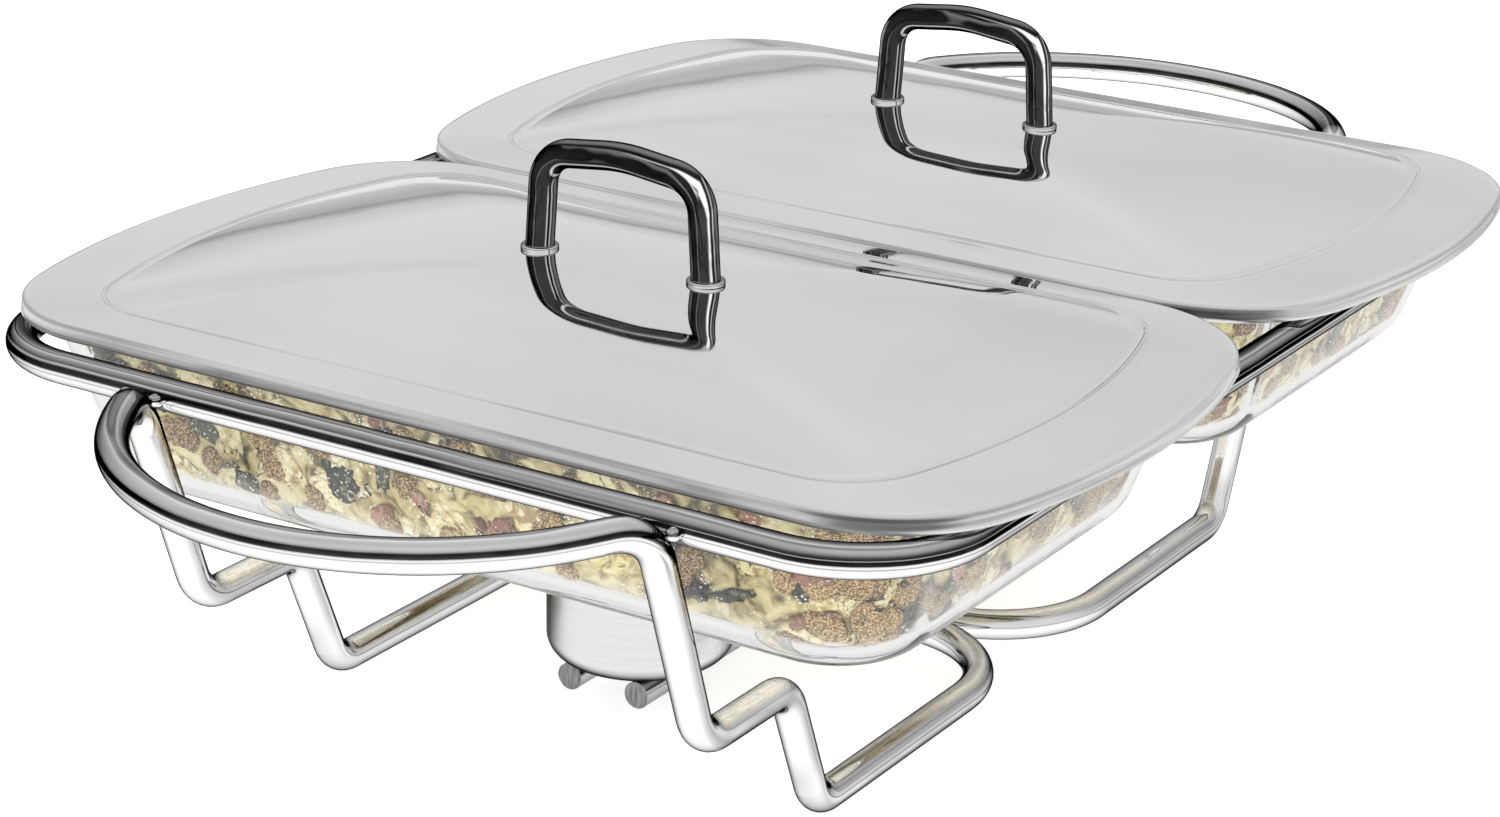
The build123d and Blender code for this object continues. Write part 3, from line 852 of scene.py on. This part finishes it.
def casserole_body(name, base, floor, middle_y, seed, material):
    """The baked mass: its sides press on the glass with shallow hollows, and its top is lumpy."""
    shift = Vector((seed * 37.0, 0, 0))
    loops = []

    def place(height, share, hollow, rough):
        points = []
        half_x, half_y = dish_half(height, base)
        inset = food_inset(height, floor)
        outline = full_loop(rectangle_quarter(half_x - inset, half_y - inset, DISH_CORNER_MM - inset))
        for x, y in outline:
            here = Vector((x * share, y * share, height)) + shift
            dent = hollow * max(0.0, noise.noise(here / 7) + 0.1)
            bump = rough * (noise.fractal(here / 16, 1.0, 2.0, 4) + 0.7 * noise.noise(here / 6))
            length = math.hypot(x, y)
            pull = share * (1 - dent / length)
            points.append((x * pull, y * pull + middle_y, height + bump))
        loops.append(points)

    for share in (0.05, 0.3, 0.6, 0.85):
        place(floor, share, 0.0, 0.0)
    heights = [floor + 3 * DISH_INNER_FILLET_MM * (i / 14) ** 1.6 for i in range(15)]
    while heights[-1] < FOOD_TOP_MM - 2:
        heights.append(heights[-1] + 2.0)
    for height in heights:
        place(height, BODY_SHARE, 2.0, 0.0)
    for share in (0.995, 0.98, 0.96):
        place(FOOD_TOP_MM, BODY_SHARE * share, 2.0, 0.6)
    for i in range(1, 34):
        place(FOOD_TOP_MM, 0.95 * (1 - i / 34), 0.0, 1.8)
    vertices, faces = skin(loops)
    return add_piece(f"{name}_dish_casserole", vertices, faces, material, f"{name}_dish")


def lump_vertices(template, size, turn, centre, roughness, base, floor, depth):
    """A noisy lump: the template ball stretched, roughened, turned, and pressed flat on the glass."""
    points = []
    for direction in template:
        here = direction * 1.7 + centre * 0.31
        swell = 1 + roughness * (noise.noise(here) + 0.5 * noise.noise(here * 2.7))
        point = Vector([d * s for d, s in zip(direction, size)]) * swell
        point.rotate(turn)
        points.append(keep_inside(point + centre, base, floor, depth))
    return points


def ball_template(subdivisions):
    work = bmesh.new()
    bmesh.ops.create_icosphere(work, subdivisions=subdivisions, radius=1.0)
    work.verts.ensure_lookup_table()
    points = [v.co.copy() for v in work.verts]
    faces = [tuple(v.index for v in f.verts) for f in work.faces]
    work.free()
    return points, faces


def wall_place(rng, base, floor, depth):
    """A random place just inside the glass wall, and the height it sits at."""
    height = rng.uniform(floor + 2, FOOD_TOP_MM - 1)
    half_x, half_y = dish_half(height, base)
    inset = food_inset(height, floor) + depth
    x = rng.uniform(-half_x, half_x)
    y = rng.uniform(-half_y, half_y)
    if rng.random() < half_x / (half_x + half_y):
        y = math.copysign(half_y - inset, y)
    else:
        x = math.copysign(half_x - inset, x)
    return Vector((x, y, height))


def scattered_bits(
    name, kind, counts, sizes, roughness, detail, depths, base, floor, middle_y, seed, material,
):
    """Many lumps as one piece: some against the glass and some on top. Each carries a tone of its own."""
    rng = random.Random(seed)
    template, template_faces = ball_template(detail)
    vertices, faces, tones = [], [], []
    for i in range(sum(counts)):
        size = [rng.uniform(*limits) for limits in sizes]
        depth = rng.uniform(*depths)
        if i < counts[0]:
            centre = wall_place(rng, base, floor, 0.6 * min(size) + depth)
        else:
            half_x, half_y = dish_half(FOOD_TOP_MM, base)
            spread = DISH_WALL_MM + 4
            centre = Vector((
                rng.uniform(spread - half_x, half_x - spread), rng.uniform(spread - half_y, half_y - spread),
                FOOD_TOP_MM + rng.uniform(-0.3, 0.5) * min(size),
            ))
        turn = Euler([rng.uniform(0, math.tau) for _ in range(3)])
        start = len(vertices)
        lump = lump_vertices(template, size, turn, centre, roughness, base, floor, depth)
        vertices += [(p.x, p.y + middle_y, p.z) for p in lump]
        faces += [tuple(start + index for index in face) for face in template_faces]
        tones += [rng.random()] * len(lump)
    piece = add_piece(f"{name}_dish_{kind}", vertices, faces, material, f"{name}_dish")
    tone = piece.data.attributes.new("tone", "FLOAT", "POINT")
    tone.data.foreach_set("value", tones)
    return piece


def fill_dish(name, seed, materials):
    low, high = box_mm(f"{name}_glass_dish")
    middle_y = (low.y + high.y) / 2
    base = (low.z, high.z)
    floor = low.z + DISH_WALL_MM + FOOD_GAP_MM
    casserole_body(name, base, floor, middle_y, seed, materials["casserole"])
    chunk_size = ((4.5, 9.5), (4.0, 7.5), (3.5, 6.0))
    nut_size = ((3.2, 5.0), (3.0, 4.2), (2.6, 3.8))
    leaf_size = ((3.0, 6.5), (2.2, 4.5), (1.4, 2.6))
    onion_size = ((2.4, 4.6), (1.8, 3.2), (1.4, 2.6))
    shared = (base, floor, middle_y)
    kinds = (
        ("potato_chunks", (150, 80), chunk_size, 0.55, 4, (0.5, 1.8), "potato"),
        ("crumbed_nuts", (230, 100), nut_size, 0.30, 3, (0.0, 0.4), "nut"),
        ("herb_leaves", (95, 45), leaf_size, 0.7, 3, (0.2, 0.8), "herb"),
        ("onion_pieces", (95, 45), onion_size, 0.6, 3, (0.1, 0.6), "onion"),
    )
    for step, (kind, counts, size, roughness, detail, depths, look) in enumerate(kinds, 1):
        scattered_bits(
            name, kind, counts, size, roughness, detail, depths, *shared, seed + step, materials[look],
        )


# ---- Rack details -----------------------------------------------------------------------------------------

def weld_beads(materials):
    """The small blobs of weld, plated over, where each loop crosses under the top ring."""
    template, template_faces = ball_template(3)
    ring_high = box_mm("top_ring")[1]
    vertices, faces = [], []
    for side_x in (-1, 1):
        for side_y in (-1, 1):
            for inner in (-1, 1):
                middle = Vector((
                    side_x * (WELD_X_MM + inner * WELD_SPREAD_MM),
                    side_y * (ring_high.y + WELD_OUT_MM),
                    ring_high.z - WELD_DOWN_MM,
                ))
                start = len(vertices)
                for direction in template:
                    swell = 1 + 0.12 * noise.noise(direction * 2 + middle)
                    point = Vector([d * s for d, s in zip(direction, WELD_HALF_SIZE_MM)]) * swell
                    vertices.append(tuple(middle + point))
                faces += [tuple(start + index for index in face) for face in template_faces]
    return add_piece("rack_weld_beads", vertices, faces, materials["chrome_rod"], "rack")


# ---- Stage ------------------------------------------------------------------------------------------------

def camera_axes():
    """Right, up and back of the camera, with its small roll."""
    azimuth, elevation = math.radians(CAMERA_AZIMUTH), math.radians(CAMERA_ELEVATION)
    back = Vector((
        math.sin(azimuth) * math.cos(elevation),
        -math.cos(azimuth) * math.cos(elevation),
        math.sin(elevation),
    ))
    level_right = Vector((0, 0, 1)).cross(back).normalized()
    level_up = back.cross(level_right)
    roll = math.radians(CAMERA_ROLL)
    right = level_right * math.cos(roll) + level_up * math.sin(roll)
    return right, back.cross(right), back


def add_camera():
    right, up, back = camera_axes()
    data = bpy.data.cameras.new("camera")
    data.lens = CAMERA_LENS
    data.sensor_width = CAMERA_SENSOR
    data.clip_start = 0.01
    camera = bpy.data.objects.new("camera", data)
    bpy.context.scene.collection.objects.link(camera)
    place = CAMERA_TARGET + back * CAMERA_DISTANCE
    axes = [list(row) for row in zip(right, up, back)]
    rows = [axes[i] + [place[i]] for i in range(3)] + [[0, 0, 0, 1]]
    camera.matrix_world = Matrix(rows)
    bpy.context.scene.camera = camera


def add_floor():
    """A pale floor. The camera sees it near white, and metal and glass mirror it a shade greyer."""
    material, g = new_material("pale_floor")
    speckle = g.noise(30, detail=4)
    paper = g.mix(g.remap(speckle, 0.3, 0.7), grey(0.86), grey(0.90))
    diffuse = g.add("BsdfDiffuse", {"Color": paper}).outputs[0]
    glow = g.add("Emission", {"Color": grey(1.0), "Strength": 0.62}).outputs[0]
    seen = g.add("AddShader", {0: diffuse, 1: glow}).outputs[0]
    mirrored = g.add("Emission", {"Color": grey(1.0), "Strength": 0.92}).outputs[0]
    path = g.add("LightPath").outputs
    other = g.math("MAXIMUM", path["Is Glossy Ray"], path["Is Transmission Ray"])
    g.output(g.add("MixShader", {0: other, 1: seen, 2: mirrored}).outputs[0])
    mesh = bpy.data.meshes.new("floor")
    reach = 6.0
    corners = [(-reach, -reach, 0), (reach, -reach, 0), (reach, reach, 0), (-reach, reach, 0)]
    mesh.from_pydata(corners, [], [(0, 1, 2, 3)])
    floor = bpy.data.objects.new("floor", mesh)
    floor.data.materials.append(material)
    floor.location.z = CAD_BOX[0].z - 0.0002
    bpy.context.scene.collection.objects.link(floor)


def add_studio():
    """A soft light tent in grey bands, brighter on the photo camera's side. The camera sees plain white."""
    world = bpy.data.worlds.new("studio")
    bpy.context.scene.world = world
    world.use_nodes = True
    g = Graph(world.node_tree)
    direction = g.add("TexCoord").outputs["Generated"]
    rise = g.add("SeparateXYZ", {0: direction}).outputs["Z"]
    tent = g.bands(rise, [
        (-1.0, 0.70), (-0.02, 0.70), (0.04, 0.55), (0.16, 0.72), (0.36, 0.66), (0.55, 0.74), (0.8, 0.70),
        (1.0, 0.66),
    ])
    folds = g.add("TexNoise", {"Vector": direction, "Scale": 2.2, "Detail": 2.0}).outputs["Fac"]
    tent = g.mix(g.remap(folds, 0.42, 0.66, 0.0, 0.14), tent, grey(0.40))
    right, up, back = camera_axes()
    near_side = g.add("VectorMath", {0: direction, 1: (back.x, back.y, 0.0)}, operation="DOT_PRODUCT")
    boost = g.remap(near_side.outputs["Value"], -0.1, 0.45, 1.0, NEAR_SIDE_BOOST)
    tent = g.add("VectorMath", {0: tent, 1: boost}, operation="MULTIPLY").outputs[0]
    tent = g.mix(g.add("LightPath").outputs["Is Camera Ray"], tent, grey(1.0))
    g.add("OutputWorld", {"Surface": g.add("Background", {"Color": tent, "Strength": 1.0}).outputs[0]})


def add_softbox(name, place, size, energy):
    """A large soft light that shades matt things but isn't mirrored by the metal."""
    data = bpy.data.lights.new(name, "AREA")
    data.shape = "DISK"
    data.size = size
    data.energy = energy
    light = bpy.data.objects.new(name, data)
    light.location = place
    light.rotation_euler = (Vector(place) - Vector((0, 0, 0.05))).to_track_quat("Z", "Y").to_euler()
    light.visible_glossy = False
    bpy.context.scene.collection.objects.link(light)


def add_lights():
    right, up, back = camera_axes()
    flat_back = Vector((back.x, back.y, 0)).normalized()
    add_softbox("overhead", (0, 0, 1.5), 1.6, 8.0)
    add_softbox("camera_side", flat_back * 1.3 - right * 0.9 + Vector((0, 0, 0.8)), 0.6, 5.0)


# ---- Everything -------------------------------------------------------------------------------------------

def main():
    materials = make_materials()
    paint_cad_nodes(materials)
    for index, name in enumerate(SIDES):
        lid_shell(name, materials)
        glass_dish(name, materials)
        fill_dish(name, 10 * (index + 1), materials)
    weld_beads(materials)
    add_floor()
    add_studio()
    add_lights()
    add_camera()
    bpy.context.scene.view_settings.view_transform = "Standard"
    bpy.context.view_layer.update()


main()
